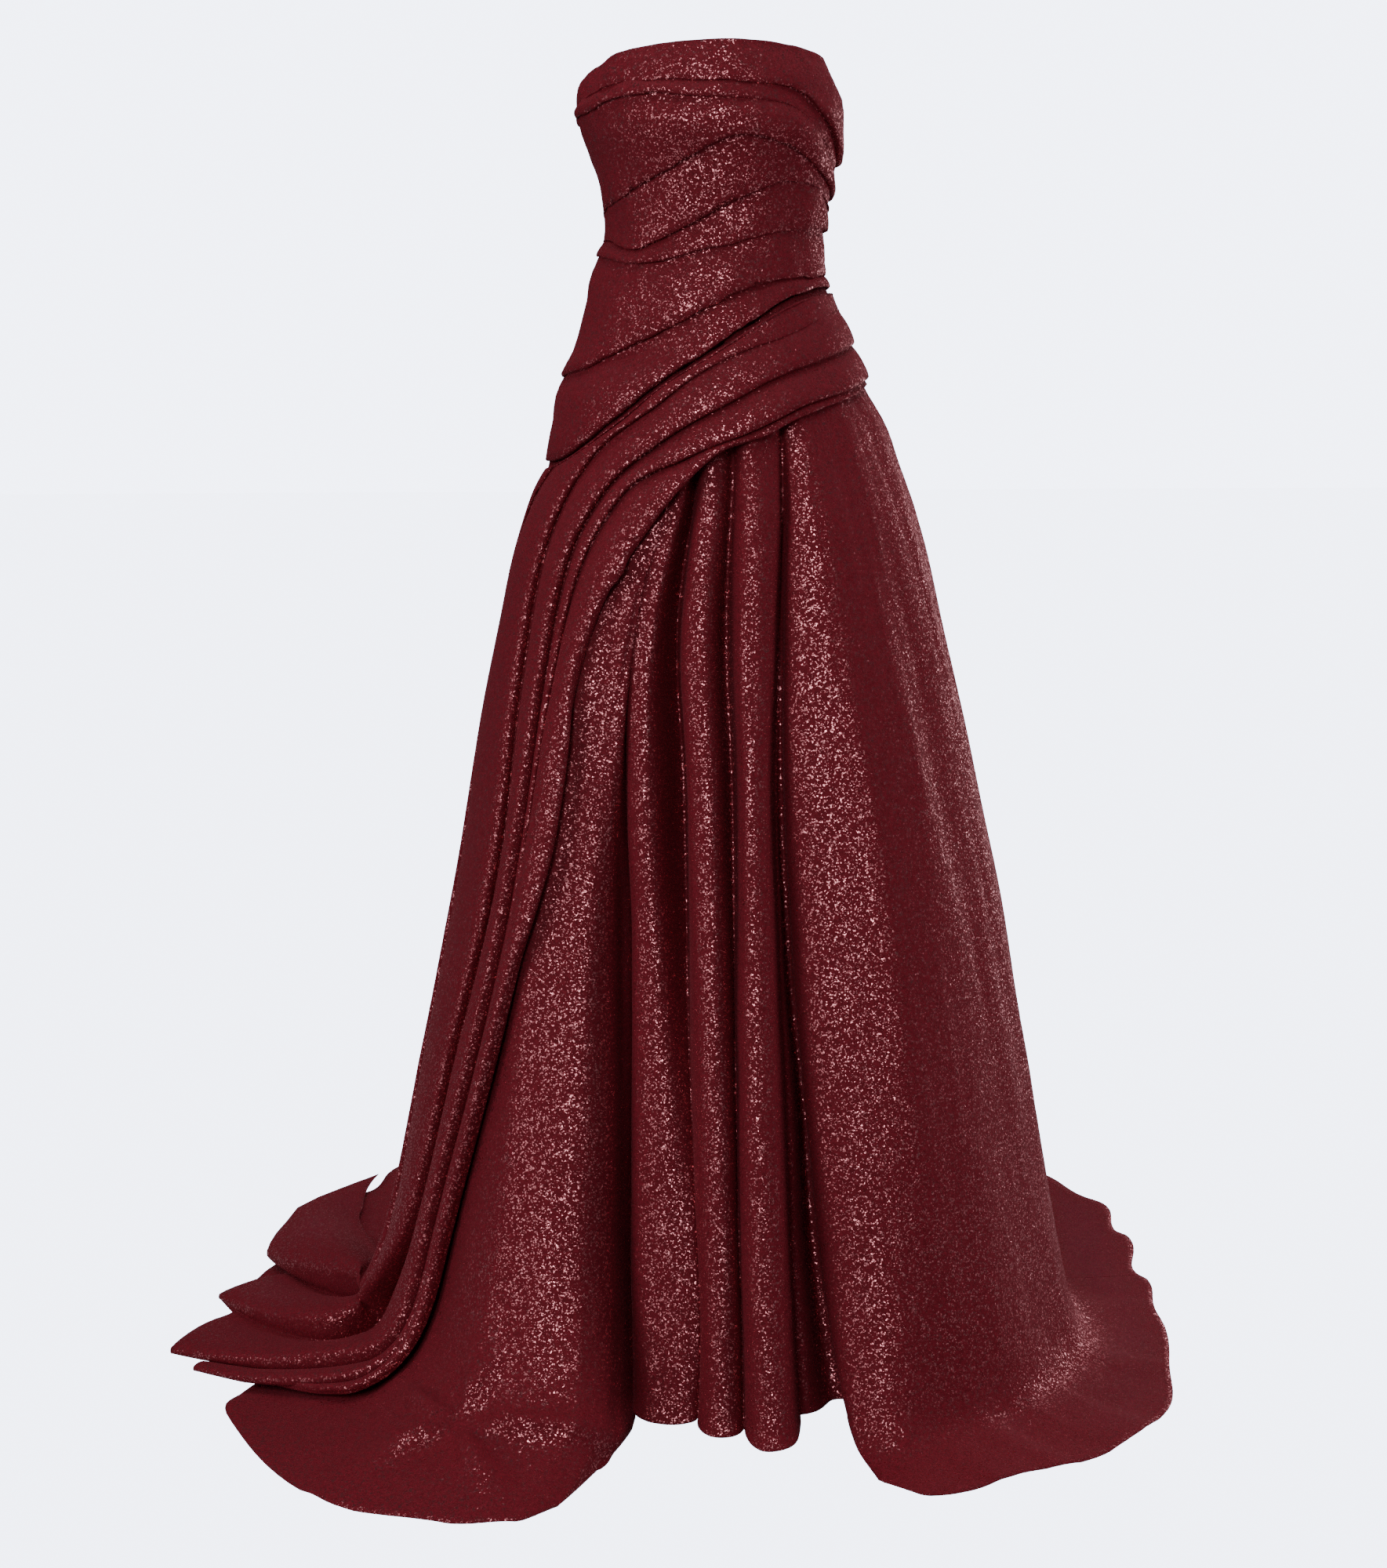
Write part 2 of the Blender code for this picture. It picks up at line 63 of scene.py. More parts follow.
# The folded edge of a pleat
EDGE_DROP = 0.0005      # a stack of pleats ends this far below its last edge
EDGE_SINK = 0.0006      # and this far in
FULL_LIP = 0.004        # a lip at least this high folds over its edge in full
MOST_BACK = -0.40       # how far a row may move back from its place, as a share of the pleat
MOST_PAST = 0.35        # how far it may move past it

# The skirt's foot and the cloth on the floor
FOOT = 0.100            # height from which the skirt turns out along the floor
FOOT_REACH = 0.800      # height up to which the foot's roundness fades out
SHORT_HEM = 0.050       # a hem that reaches less far than this rolls less
CALM = 0.120            # how far below the waist seam the relief comes up
LYING_FROM = 0.030      # height from which the relief grows towards the floor
LYING_OVER = 0.060      # how far down it grows
LYING_MORE = 0.8        # how much larger it gets
NEAR_FLOOR = 0.020      # below this height the relief hardly sinks in
MOST_SINK = 0.0005      # how far it sinks in there
DIMPLE_ANGLE = -47.0    # a dimple in the front panel's lobe on the floor
DIMPLE_ABOVE = -0.055
CREASE_RAYS = 5         # creases that run out from it
CREASE_TWIST = 6        # how far they curl, in radians for each metre
CREASE_HEIGHT = 0.016
CREASE_REACH = 0.070

# Rows and columns of the grids
BODICE_COLUMNS = 250
BACK_COLUMNS = 90
WALL_ROWS = 84          # of the skirt above the foot
FLOOR_ROWS = 30         # of the skirt below it
SHARP_COLUMNS = 13      # from one fold of the skirt to the next, beside a cleft
SOFT_COLUMNS = 12       # the same, elsewhere in the front
BACK_SKIRT_COLUMNS = 14
SASH_STEPS = 24         # from one station of the sash to the next

SECTIONS = [
    # height, half width, half depth, shift of the middle to +X, in millimetres
    (1400, 127, 106, -5), (1360, 139, 114, -7), (1320, 138, 118, -4), (1280, 127, 106, 2),
    (1240, 121, 98, 3), (1205, 118, 94, 0), (1170, 125, 98, -6), (1130, 135, 107, -2),
    (1090, 147, 118, 1), (1050, 166, 132, -1), (1010, 180, 147, 8), (970, 190, 161, 12),
    (930, 204, 176, 13), (880, 219, 192, 13), (800, 237, 214, 14), (700, 259, 241, 16),
    (600, 278, 266, 19), (500, 297, 291, 22), (400, 314, 316, 21), (300, 331, 340, 20),
    (200, 346, 362, 20), (100, 360, 384, 22), (0, 374, 405, 24),
]

# Bodice front: the height of each pleat's folded edge, and how far it stands out, in
# millimetres, at nine angles
PLEAT_ANGLES = (-100, -75, -50, -25, 0, 25, 50, 75, 95)
PLEAT_EDGES = {
    "neckline": (1350, 1378, 1394, 1400, 1403, 1402, 1396, 1383, 1370),
    "band": (1341, 1350, 1362, 1362, 1360, 1357, 1328, 1294, 1285),
    "bust": (1332, 1336, 1347, 1346, 1344, 1340, 1308, 1276, 1266),
    "arch": (1232, 1243, 1259, 1285, 1308, 1301, 1278, 1257, 1248),
    "rib": (1205, 1203, 1193, 1214, 1244, 1263, 1257, 1240, 1232),
    "waist": (1190, 1186, 1178, 1185, 1198, 1213, 1218, 1218, 1216),
    "hip": (1062, 1066, 1088, 1117, 1144, 1160, 1168, 1173, 1173),
    "sash": (975, 976, 1013, 1063, 1107, 1139, 1154, 1158, 1157),
}
PLEAT_LIPS = {
    "band": (0, 0, 0, 2, 4, 6, 8, 8, 5),
    "bust": (4, 6, 6, 6, 4, 1, 0, 0, 0),
    "arch": (1, 2, 5, 7, 7, 7, 6, 5, 4),
    "rib": (0, 1, 5, 6, 6, 3, 0, 0, 0),
    "waist": (4, 6, 6, 6, 5, 4, 5, 6, 4),
    "hip": (5, 8, 8, 8, 7, 6, 5, 4, 3),
    "sash": (6, 9, 9, 8, 8, 7, 6, 5, 4),
}
# Bodice back: an edge's height at the right and the left seam, its dip between them, its lip
BACK_PLEATS = {
    "neckline": (1350, 1370, 26, 0),
    "bust": (1332, 1285, 10, 4),
    "arch": (1232, 1248, 6, 4),
    "waist": (1190, 1216, 4, 4),
    "hip": (1062, 1173, 0, 5),
    "sash": (975, 1157, 0, 3),
}
STRAIGHT_EDGES = ("neckline", "sash")

# Across a pleat: share of its width, share of its lip, and how far past its edge in mm
PLEAT_PROFILE = (
    (0.00, 0.00, -1.5), (0.05, 0.02, 0), (0.13, 0.16, 0), (0.24, 0.42, 0), (0.37, 0.66, 0),
    (0.52, 0.85, 0), (0.68, 0.96, 0), (0.82, 1.00, 0), (0.92, 0.98, 0), (1.0, 0.88, 0.5),
    (1.0, 0.68, 1.3), (1.0, 0.44, 1.5), (1.0, 0.24, 0.8), (1.0, 0.10, -0.5),
)

# Folds of the skirt, round from the centre back: angle at every level, depth out from the
# form in mm at all levels but the first, hem's reach along the floor, roundness of the
# foot, and how sharp the fold is: 1 is a cleft, 2 is sharp only towards the fold before it
WAIST_LEVEL = 1.05
FOLD_LEVELS = (WAIST_LEVEL, 0.93, 0.50, 0.00)
FRONT_LEVELS = (WAIST_LEVEL, 0.93, 0.80, 0.65, 0.50, 0.30, 0.12, 0.00)
SKIRT_FOLDS = {
    "back_right": ((-180, -180, -180, -180), (0, 0, 0), 410, 90, 0),
    "back_valley_1": ((-169, -169, -169, -169), (-6, -13, -18), 405, 90, 0),
    "back_crest_1": ((-158, -158, -158, -158), (3, 8, 12), 375, 90, 0),
    "back_valley_2": ((-147, -147, -147, -148), (-5, -12, -16), 322, 80, 0),
    "back_crest_2": ((-136, -136, -136, -138), (3, 7, 9), 268, 60, 0),
    "back_valley_3": ((-125, -125, -125, -127), (-3, -6, -7), 220, 50, 0),
    "under_sash_1": ((-112, -112, -112, -115), (0, 0, 0), 205, 40, 0),
    "right_seam": ((-100, -100, -100, -102), (0, 0, 0), 180, 40, 0),
    "under_sash_2": ((-82, -82, -82, -86), (0, 0, 0), 145, 40, 0),
    "lobe_side": ((-60, -62, -64, -75), (0, 0, 0), 214, 70, 0),
    "lobe_crest": ((-34, -37, -43.9, -52.8, -54.2, -51.3, -49.8, -51),
                   (2, 4, 8, 10, 12, 14, 14), 222, 140, 0),
    "lobe_front": ((-30, -33, -40.3, -47.4, -48.8, -45.3, -43, -40),
                   (0, -3, -3, -4, -2, 4, 10), 196, 130, 0),
    "lobe_fall": ((-28, -31, -37.5, -41.8, -42.8, -39.6, -37.6, -34.4),
                  (-1, -8, -15, -25, -23, -14, 5), 172, 110, 0),
    "lobe_edge": ((-26.5, -29.5, -37, -40.1, -41.3, -37.5, -35.2, -32),
                  (-2, -11, -20, -48, -50, -42, 0), 135, 80, 0),
    "lobe_turn": ((-25.8, -28.8, -36.3, -39.7, -41.6, -37.7, -35.4, -31.6),
                  (-2, -13, -23, -62, -68, -66, -6), 50, 50, 0),
    "valley_1": ((-25, -28, -36.4, -40, -40.4, -37.3, -35.8, -32.6),
                 (-2, -15, -50, -84, -92, -94, -74), -25, 30, 1),
    "tube_1": ((-23.5, -25.6, -32.2, -33.6, -32.6, -30.5, -28.4, -26.6),
               (-3, -18, -28, -44, -48, -46, -42), -8, 30, 0),
    "valley_2": ((-17.4, -21.6, -28, -26.7, -25.6, -21.4, -19.4, -20.2),
                 (-36, -66, -90, -94, -68, -54, -58), -12, 30, 1),
    "tube_2": ((-12, -15.9, -18, -17.3, -17.1, -15.7, -15.5, -16),
               (-6, -12, -18, -20, -20, -22, -26), -4, 30, 0),
    "valley_3": ((-5, -8.4, -10.8, -10.8, -12, -11.8, -11.7, -12),
                 (-28, -52, -60, -56, -46, -44, -46), -6, 30, 1),
    "tube_3": ((2, -2.4, -6.2, -7.3, -8.4, -8.3, -8.1, -8),
               (0, -4, -8, -10, -8, -6, -6), 4, 30, 0),
    "valley_4": ((12.6, 9.1, 5.4, 1, -1, -0.8, -1.4, -1.6),
                 (-26, -43, -50, -54, -60, -62, -62), -14, 30, 2),
    "valley_4_end": ((13.2, 9.3, 6.1, 2.8, 2.3, 6.3, 7.7, 8.8),
                     (-18, -40, -56, -76, -96, -102, -90), -14, 30, 0),
    "front_edge": ((15, 9.5, 5.9, 2.4, 1.4, 3.1, 4.4, 5.4),
                   (-9, -22, -34, -42, -42, -34, -6), 75, 30, 0),
    "front_crest_1": ((18, 12.5, 11.1, 13.1, 12.7, 11.8, 10.6, 9),
                      (0, -4, -3, -2, -1, 4, 12), 100, 40, 0),
    "front_valley_1": ((24, 18.5, 18.5, 20, 20.7, 19.6, 19, 20),
                       (4, 5, 8, 10, 11, 10, 6), 107, 40, 0),
    "front_crest_2": ((36, 29, 30, 32, 33, 33.5, 33.5, 34),
                      (3, 5, 6, 7, 7, 8, 8), 122, 40, 0),
    "front_valley_2": ((46, 41, 42, 44, 45, 46, 47, 48),
                       (0, -1, -1, -1, -1, 0, 0), 130, 40, 0),
    "front_crest_3": ((62, 56, 56, 57, 58, 60, 63, 65),
                      (2, 3, 3, 3, 4, 5, 5), 102, 40, 0),
    "left_side": ((80, 74, 76, 82), (0, -2, -2), 113, 40, 0),
    "left_seam": ((95, 95, 95, 97), (0, 0, 0), 144, 40, 0),
    "train_valley_1": ((108, 108, 108, 111), (-4, -10, -12), 228, 50, 0),
    "train_crest_1": ((120, 120, 120, 122), (3, 8, 10), 290, 60, 0),
    "train_valley_2": ((132, 132, 132, 134), (-5, -12, -16), 378, 80, 0),
    "train_crest_2": ((145, 145, 145, 146), (3, 8, 12), 400, 90, 0),
    "train_valley_3": ((163, 163, 163, 163), (-6, -13, -18), 410, 90, 0),
    "back_left": ((180, 180, 180, 180), (0, 0, 0), 410, 90, 0),
}

# How wide a cleft's mouth is, at every level: 0 is a slit between full tubes, 1 a wide cleft
CLEFT_MOUTHS = {
    "valley_1": (0, 0, 0, 0.1, 0.2, 0.2, 0.2, 0.2),
    "valley_2": (0.4, 0.6, 0.9, 1, 0.8, 0.3, 0.1, 0.1),
    "valley_3": (0.2, 0.3, 0.5, 0.6, 0.4, 0.1, 0.1, 0.1),
    "valley_4": (0.2, 0.3, 0.4, 0.5, 0.5, 0.5, 0.4, 0.4),
}
# From a tube's crest to the bottom of a wide cleft: share of the way, share across, share in
WIDE_CLEFT = ((0, 0, 0), (0.2, 0.25, 0.04), (0.36, 0.42, 0.14), (0.5, 0.53, 0.32),
              (0.65, 0.63, 0.56), (0.82, 0.78, 0.84), (1, 1, 1))

# Hip sash: angle and height in mm of each fold's edge at fourteen stations along it, from the
# left side seam to the floor. A height below 0 is a distance along the floor.
SASH_EDGES = {
    "top": ((94, 1153), (70, 1154), (45, 1148), (20, 1131), (-8, 1096), (-38, 1040),
            (-86, 970), (-111, 870), (-112, 560), (-112, 300), (-113, 110), (-118, 0),
            (-136, -165), (-152, -345)),
    "fall": ((94, 1150), (70, 1151), (45, 1145), (20, 1128), (-8, 1093), (-36, 1037),
             (-80, 962), (-99, 860), (-98, 560), (-98, 300), (-98, 150), (-97, 30),
             (-106, -62), (-122, -220)),
    "roll": ((94, 1128), (70, 1131), (45, 1121), (20, 1101), (-5, 1078), (-29, 1032),
             (-58, 966), (-69, 850), (-68, 580), (-73, 350), (-78, 160), (-91, 30),
             (-90, -82), (-107, -218)),
    "hip": ((94, 1100), (70, 1095), (45, 1083), (20, 1065), (-2, 1037), (-26, 1000),
            (-48, 939), (-58, 830), (-59, 590), (-63.5, 370), (-70, 160), (-72, 0),
            (-78, -90), (-91, -250)),
    "under": ((94, 1062), (70, 1058), (45, 1045), (20, 1028), (0, 1004), (-22, 976),
              (-42, 934), (-54.5, 815), (-57.5, 575), (-62, 360), (-68.5, 150), (-68, -25),
              (-72, -105), (-85.5, -229)),
    "tail": ((94, 1055), (70, 1051), (45, 1038), (20, 1020), (2, 997), (-14, 976),
             (-31, 910), (-46, 790), (-52, 560), (-57, 350), (-64, 145), (-66, -50),
             (-70, -108), (-81, -165)),
}
# Where the cloth starts again under the fold before it, at the hem
NOTCHES = {"roll": (-118, -163), "hip": (-103, -195), "under": (-88, -210), "tail": (-81, -160)}
NOTCH_STATION = 12      # where the notches open
NOTCH_CURVE = 1.5
TUCK = 0.0090           # the sash's edges stay this far below the bodice's last edge
# How far each fold stands out, in mm, at some of the stations
LIP_STATIONS = (0, 3, 6, 8, 9, 10, 11, 12, 13)
SASH_LIPS = {
    "fall": (0, 0, 3, 7, 8, 16, 34, 44, 10),
    "roll": (0, 2, 8, 13, 14, 22, 38, 34, 9),
    "hip": (4, 8, 10, 16, 17, 18, 22, 22, 8),
    "under": (5, 9, 8, 5, 5, 8, 14, 15, 7),
    "tail": (0, 2, 11, 15, 16, 15, 10, 9, 5),
}
# How far the sash stands off the skirt at some of the stations
GAP_STATIONS = (0, 0.5, 8, 9, 12, 13)
SASH_GAPS = (0.0025, 0.0048, 0.0048, 0.0090, 0.0090, 0.0065)

# Unevenness of a pleat's edge: length of a wave, its height in mm, step of its seed
EDGE_WAVES = ((17, 1.6, 0), (6, 0.7, 50))
WAVE_START = 40
# Unevenness of the cloth: length of a bump across and down, slant, where the bumps start,
# their height in mm, seed, and how many there are before they repeat
BODICE_BUMPS = (
    (14, 0.030, 0, (30, 5), 1.9, 11, 64),
    (5, 0.012, 60, (60, 9), 0.75, 12, 64),
)
SKIRT_BUMPS = (
    (6, 0.34, 1.5, (0, 3), 1.9, 31, 60),
    (3, 0.11, 2, (0, 7), 0.8, 32, 120),
    (1.5, 0.045, 0, (0, 9), 0.3, 33, 240),
)
# For the sash, across is in stations along it and down is in rows over its folds
SASH_BUMPS = (
    (1 / 1.1, 9, 0, (20, 4), 0.9, 41, 64),
    (1 / 3.1, 5, 0, (20, 4), 0.45, 42, 64),
)


def hermite(t, start, leave, end, arrive):
    """A cubic from start to end, at the share t of the way, with its slopes at both."""
    return ((2 * t**3 - 3 * t**2 + 1) * start + (t**3 - 2 * t**2 + t) * leave
            + (3 * t**2 - 2 * t**3) * end + (t**3 - t**2) * arrive)


def smooth(xs, ys, x):
    """A cubic curve through the points xs (rising), ys, read at x."""
    xs = np.asarray(xs, float)
    ys = np.asarray(ys, float)
    x = np.clip(x, xs[0], xs[-1])
    slopes = np.gradient(ys, xs)
    i = np.clip(np.searchsorted(xs, x) - 1, 0, len(xs) - 2)
    step = xs[i + 1] - xs[i]
    return hermite((x - xs[i]) / step, ys[i], step * slopes[i], ys[i + 1], step * slopes[i + 1])


def smoothstep(t):
    return t**2 * (3 - 2 * t)


def soft_noise(u, v, seed, around=64):
    """Smooth bumps of about unit height, one for each unit of u and v, that repeat in u."""
    table = np.random.default_rng(seed).uniform(-1, 1, (around, 64))
    i, j = np.floor(u).astype(int), np.floor(v).astype(int)
    a, b = smoothstep(u - i), smoothstep(v - j)
    here = table[i % around, j % 64] * (1 - a) + table[(i + 1) % around, j % 64] * a
    below = (table[i % around, (j + 1) % 64] * (1 - a)
             + table[(i + 1) % around, (j + 1) % 64] * a)
    return here * (1 - b) + below * b


def bumps(layers, across, down):
    """Unevenness in metres, as a sum of layers of soft noise."""
    total = np.zeros_like(across)
    for wide, long, slant, (first, second), height, seed, around in layers:
        u = across / wide + down * slant + first
        v = down / long + second
        total += height * soft_noise(u, v, seed, around)
    return total * MM


HEIGHTS, WIDTHS, DEPTHS, SHIFTS = np.array(SECTIONS[::-1], float).T * MM


def form(angle, above, spread):
    """A point of the smooth form, at a height, moved out level by spread."""
    wide = smooth(HEIGHTS, WIDTHS, above) + spread
    deep = smooth(HEIGHTS, DEPTHS, above) + spread
    middle = smooth(HEIGHTS, SHIFTS, above)
    around = np.radians(angle)
    cup = np.exp(-(((np.abs(angle) - CUP_ANGLE) / CUP_WIDTH) ** 2))
    deep = deep + CUP_DEPTH * cup * np.exp(-(((above - CUP_HEIGHT) / CUP_RISE) ** 2))
    return middle + wide * np.sin(around), -deep * np.cos(around)


FOLDS = list(SKIRT_FOLDS)
FOLD_ANGLE = [SKIRT_FOLDS[name][0][::-1] for name in FOLDS]
FOLD_DEPTH = [np.array((*SKIRT_FOLDS[name][1][::-1], 0)) * MM for name in FOLDS]
FOLD_SPREAD = [SKIRT_FOLDS[name][2] * MM for name in FOLDS]
FOLD_FOOT = [SKIRT_FOLDS[name][3] * MM for name in FOLDS]
FOLD_SHARP = [SKIRT_FOLDS[name][4] for name in FOLDS]
CLEFT = 1               # a fold that is sharp on both sides
ROUND = 2.2             # a tube's section: 2 is a circle, higher is fuller
ROUND_SHARE = 0.8       # how much of that section there is beside a cleft
SHARP_PULL = 1.66       # makes the cloth beside a cleft a quarter round
TINY = 1e-9             # keeps a length from being zero


def levels(k):
    """Heights at which fold k is stated, rising."""
    return (FOLD_LEVELS if len(FOLD_ANGLE[k]) == len(FOLD_LEVELS) else FRONT_LEVELS)[::-1]


def fold_angle(k, above):
    return smooth(levels(k), FOLD_ANGLE[k], above)


def fold_depth(k, above):
    return smooth(levels(k), FOLD_DEPTH[k], above)


def ease(k, t):
    """How far the cloth has gone from fold k to the next, at the share t of the way."""
    soft = (1 - np.cos(math.pi * t)) / 2
    if FOLD_SHARP[k + 1]:
        firm = 1 - (1 - t**ROUND) ** (1 / ROUND)
    elif FOLD_SHARP[k] == CLEFT:
        firm = (1 - (1 - t) ** ROUND) ** (1 / ROUND)
    else:
        return soft
    return soft * (1 - ROUND_SHARE) + firm * ROUND_SHARE


def between_folds(k, t, above):
    """Depth, hem spread and foot at the share t of the way from fold k to the next."""
    e = ease(k, t)
    depth = fold_depth(k, above) * (1 - e) + fold_depth(k + 1, above) * e
    spread = FOLD_SPREAD[k] * (1 - e) + FOLD_SPREAD[k + 1] * e
    foot = FOLD_FOOT[k] * (1 - t) + FOLD_FOOT[k + 1] * t
    return depth, spread, foot


def fold_point(k, above):
    """Fold k as a place along the form's girth and a depth, in metres."""
    girth = smooth(HEIGHTS, WIDTHS, np.maximum(above, 0))
    return np.stack([np.radians(fold_angle(k, above)) * girth, fold_depth(k, above)])


def pull(k, side, above):
    """Direction and strength of the cloth's curve at fold k, towards its side 1 or -1."""
    here = fold_point(k, above)
    after = fold_point(min(k + 1, len(FOLDS) - 1), above) - here
    before = here - fold_point(max(k - 1, 0), above)
    span = after if side > 0 else before
    if FOLD_SHARP[k] == CLEFT or (FOLD_SHARP[k] and side < 0):
        return span * np.array([[0.0], [SHARP_PULL]])
    cleft_before = k > 0 and FOLD_SHARP[k - 1] == CLEFT
    cleft_after = k + 1 < len(FOLDS) and FOLD_SHARP[k + 1] > 0
    if FOLD_SHARP[k] or (cleft_before and cleft_after):
        return span * np.array([[SHARP_PULL], [0.0]])
    if cleft_after:
        way = before
    elif cleft_before:
        way = after
    else:
        long_before = np.maximum(np.linalg.norm(before, axis=0), TINY)
        long_after = np.maximum(np.linalg.norm(after, axis=0), TINY)
        way = before * long_after / long_before + after * long_before / long_after
    way = way / np.maximum(np.linalg.norm(way, axis=0), TINY)
    return way * np.linalg.norm(span, axis=0)


def is_tube(k):
    """Whether fold k is a tube, with a cleft on each side."""
    return 0 < k < len(FOLDS) - 1 and FOLD_SHARP[k - 1] == CLEFT and FOLD_SHARP[k + 1] > 0


def tube_curve(crest, cleft, t, above):
    """A place at the share t of the way from a tube's crest to the cleft beside it."""
    mouth = smooth(levels(cleft), CLEFT_MOUTHS[FOLDS[cleft]][::-1], above)
    steps, across, down = np.array(WIDE_CLEFT).T
    turn = t * math.pi / 2
    shares = np.stack([math.sin(turn) * (1 - mouth) + smooth(steps, across, t) * mouth,
                       (1 - math.cos(turn)) * (1 - mouth) + smooth(steps, down, t) * mouth])
    start = fold_point(crest, above)
    return start + (fold_point(cleft, above) - start) * shares


def fold_curve(k, t, above):
    """Angle and depth at the share t of the way from fold k to the next, on a smooth curve."""
    if is_tube(k):
        place = tube_curve(k, k + 1, t, above)
    elif is_tube(k + 1):
        place = tube_curve(k + 1, k, 1 - t, above)
    else:
        place = hermite(t, fold_point(k, above), pull(k, 1, above),
                        fold_point(k + 1, above), pull(k + 1, -1, above))
    girth = smooth(HEIGHTS, WIDTHS, np.maximum(above, 0))
    return np.degrees(place[0] / girth), place[1]


def fold_state(angle, above):
    """Depth, hem spread and foot at any angle, from the folds on each side of it."""
    depth = np.zeros_like(angle)
    spread = np.zeros_like(angle)
    foot = np.full_like(angle, FOLD_FOOT[0])
    for k in range(len(FOLDS) - 1):
        start = fold_angle(k, above)
        end = fold_angle(k + 1, above)
        t = np.clip((angle - start) / (end - start), 0, 1)
        inside = (angle >= start) & (angle <= end)
        values = between_folds(k, t, above)
        depth = np.where(inside, values[0], depth)
        spread = np.where(inside, values[1], spread)
        foot = np.where(inside, values[2], foot)
    return depth, spread, foot


def lay(angle, above, depth, spread, foot):
    """Point of the skirt. Above is its height, or minus its distance along the floor."""
    foot = foot * (1 - np.clip(above / FOOT_REACH, 0, 1) ** 2)
    half = np.sqrt(above**2 + foot**2)
    drop = (above + half) / 2
    hem = (-spread + np.sqrt(spread**2 + foot**2)) / 2 * np.clip(spread / SHORT_HEM, 0, 1)
    near = np.clip((FOOT - above) / (FOOT + np.maximum(spread, 0)), 0, 1) ** 2
    x, y = form(angle, np.minimum(drop, HEIGHT), depth + drop - above)
    return np.stack([x, y, FLOOR_LIFT + np.maximum(drop - hem * near, 0)], axis=-1)


def over_skirt(angle, above):
    """The skirt without its hollows, which the sash lies over."""
    depth, spread, foot = fold_state(angle, above)
    return lay(angle, above, np.maximum(depth, 0), spread, foot)


def on_body(angle, above):
    x, y = form(angle, above, 0)
    return np.stack([x, y, above + FLOOR_LIFT], axis=-1)


def raised(surface, angle, above, height):
    """Points of a surface moved out along its normal by height."""
    step = 0.5      # degrees round, to each side
    rise = 0.002    # metres up and down
    across = surface(angle + step, above) - surface(angle - step, above)
    down = surface(angle, above - rise) - surface(angle, above + rise)
    normal = np.cross(down, across)
    normal /= np.linalg.norm(normal, axis=-1, keepdims=True)
    return surface(angle, above) + normal * height[..., None]


def pleat_rows(starts, edges, lips, low):
    """Rows across a stack of pleats, each fold lying over the start of the next."""
    angles = []
    heights = []
    relief = []
    last = len(edges) - 1
    for n, ((from_angle, from_height), (to_angle, to_height), lip) in enumerate(
            zip(starts, edges, lips)):
        middle = (from_height + to_height) / 2
        radius = smooth(HEIGHTS, WIDTHS, np.maximum(middle, 0))
        wide = np.hypot(np.radians(to_angle - from_angle) * radius, to_height - from_height)
        for share, rise, past in PLEAT_PROFILE:
            if n == 0 and share == 0:
                past = 0
            over = np.clip(past * MM / np.maximum(wide, 0.1 * MM), MOST_BACK, MOST_PAST)
            over = over * np.clip(lip / FULL_LIP, 0, 1)
            place = share + over
            angles.append(from_angle + (to_angle - from_angle) * place)
            heights.append(from_height + (to_height - from_height) * place)
            relief.append(low + lip * rise)
    angles.append(edges[last][0])
    heights.append(edges[last][1] - EDGE_DROP)
    relief.append(low - EDGE_SINK)
    return np.array(angles), np.array(heights), np.array(relief)


def with_ends(values):
    """The values with one more close to each end, for the columns beside a seam."""
    near = values[0] + (values[1] - values[0]) * END_SHARE
    far = values[-1] + (values[-2] - values[-1]) * END_SHARE
    return np.concatenate([values[:1], [near], values[1:-1], [far], values[-1:]])


def part_seams(points):
    """Draws the end columns back from their seams by half the seam gap."""
    for end, neighbour in ((0, 2), (-1, -3)):
        way = points[:, neighbour] - points[:, end]
        way[:, 2] = 0
        way /= np.linalg.norm(way, axis=1, keepdims=True)
        points[:, end] += way * SEAM / 2
    return points


def at_seams(angle, first, last):
    """0 at the two seams and 1 away from them, for relief that fades out."""
    return smoothstep(np.clip(np.minimum(angle - first, last - angle) / TAPER, 0, 1))


def cloth(name, points, node):
    """A sheet of cloth through a grid of points, with its thickness to the inside."""
    rows, columns = points.shape[:2]
    corners = points.reshape(-1, 3) - np.array([0, 0, HOLD_HEIGHT])
    index = np.arange(rows * columns).reshape(rows, columns)
    quads = np.stack([index[:-1, :-1], index[1:, :-1], index[1:, 1:], index[:-1, 1:]], axis=-1)
    mesh = bpy.data.meshes.new(name)
    mesh.from_pydata(corners.tolist(), [], quads.reshape(-1, 4).tolist())
    mesh.shade_smooth()
    mesh.materials.append(CLOTH_MATERIAL)
    obj = bpy.data.objects.new(name, mesh)
    bpy.context.scene.collection.objects.link(obj)
    wall = obj.modifiers.new("wall", "SOLIDIFY")
    wall.thickness = CLOTH
    wall.offset = -1
    wall.use_even_offset = False
    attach(obj, "root")
    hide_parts(node)
    return obj


def grid_normal(points):
    """Outward unit normals of a grid whose rows run down and columns run round."""
    down = np.gradient(points, axis=0)
    across = np.gradient(points, axis=1)
    normal = np.cross(down, across)
    return normal / np.maximum(np.linalg.norm(normal, axis=-1, keepdims=True), TINY)


def uneven(points, height):
    """A grid's points moved out along its normals by height."""
    return points + grid_normal(points) * height[..., None]


def front_height(edge, angle):
    return smooth(PLEAT_ANGLES, PLEAT_EDGES[edge], angle) * MM


def back_height(edge, angle):
    right, left, dip, _ = BACK_PLEATS[edge]
    share = (np.mod(angle, 360) - LEFT_SEAM) / (RIGHT_SEAM + 360 - LEFT_SEAM)
    return (left + (right - left) * smoothstep(share) - dip * np.sin(math.pi * share)) * MM


